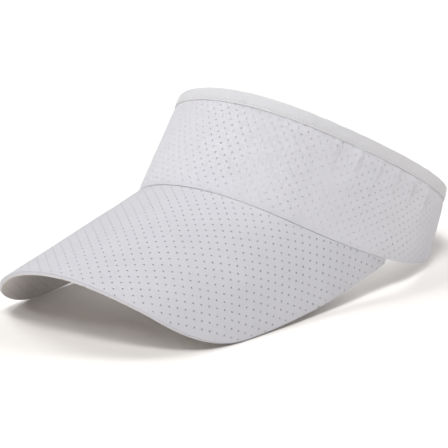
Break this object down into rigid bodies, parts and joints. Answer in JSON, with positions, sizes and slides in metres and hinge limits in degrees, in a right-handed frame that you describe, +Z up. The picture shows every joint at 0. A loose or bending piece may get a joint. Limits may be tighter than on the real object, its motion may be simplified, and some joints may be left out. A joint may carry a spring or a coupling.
{
  "type": "sun visor",
  "caption": "Topless sun visor with a perforated cloth crown, folded top binding, long arched bill and a hook-and-loop rear closure.",
  "frame": {"origin": "centre of the bounding box, on the surface the visor stands on", "axes": "+Z up, the bill points towards -Y, +X is to the wearer's left; the crown's own axis leans 24.75 degrees towards +Y"},
  "size_m": [0.1574, 0.324, 0.1154],
  "materials": {
    "perforated_cloth": "matt, laser-perforated polyester",
    "bill_cloth": "matt, laser-perforated polyester",
    "binding_cloth": "plain woven polyester",
    "lining_cloth": "fine knitted mesh",
    "interlining": "stiff bonded interlining",
    "towelling": "looped towelling",
    "soft_foam": "open-cell foam",
    "bill_board": "closed-cell foam board, cut edge",
    "thread": "spun polyester thread",
    "hook_tape": "woven nylon with moulded hooks",
    "loop_tape": "napped nylon loops",
    "label_cloth": "smooth satin ribbon"
  },
  "bodies": {
    "visor": {"crown_panel": "perforated_cloth", "front_stiffener": "interlining", "crown_lining": "lining_cloth", "top_binding": "binding_cloth", "top_binding_stitching": "thread", "seam_tape": "binding_cloth", "bill_seam_stitching": "thread", "sweatband": "towelling", "sweatband_foam": "soft_foam", "sweatband_stitching": "thread", "bill_top_cover": "bill_cloth", "bill_core": "bill_board", "bill_under_cover": "bill_cloth", "hook_strap_root": "binding_cloth", "hook_strap_bartack": "thread", "loop_strap_bartack": "thread", "label_stitching": "thread"},
    "hook_strap": {"hook_strap": "binding_cloth", "hook_tape": "hook_tape", "hook_tape_stitching": "thread"},
    "loop_strap": {"loop_strap": "binding_cloth", "loop_tape": "loop_tape", "loop_tape_stitching": "thread"},
    "care_label": {"care_label": "label_cloth"}
  },
  "joints": [
    {"name": "hook_strap_peel", "type": "hinge", "parent": "visor", "child": "hook_strap", "pos_m": [0.03268, 0.14887, 0.01564], "axis": [0, -0.4187, -0.9081], "range_deg": [0, 110]},
    {"name": "size_adjust", "type": "hinge", "parent": "visor", "child": "loop_strap", "pos_m": [0, 0.09554, 0.04023], "axis": [0, 0.4187, 0.9081], "range_deg": [-7, 10]},
    {"name": "label_flip", "type": "hinge", "parent": "visor", "child": "care_label", "pos_m": [-0.07303, 0.06479, 0.06189], "axis": [0, -0.9081, 0.4187], "range_deg": [0, 115]}
  ]
}
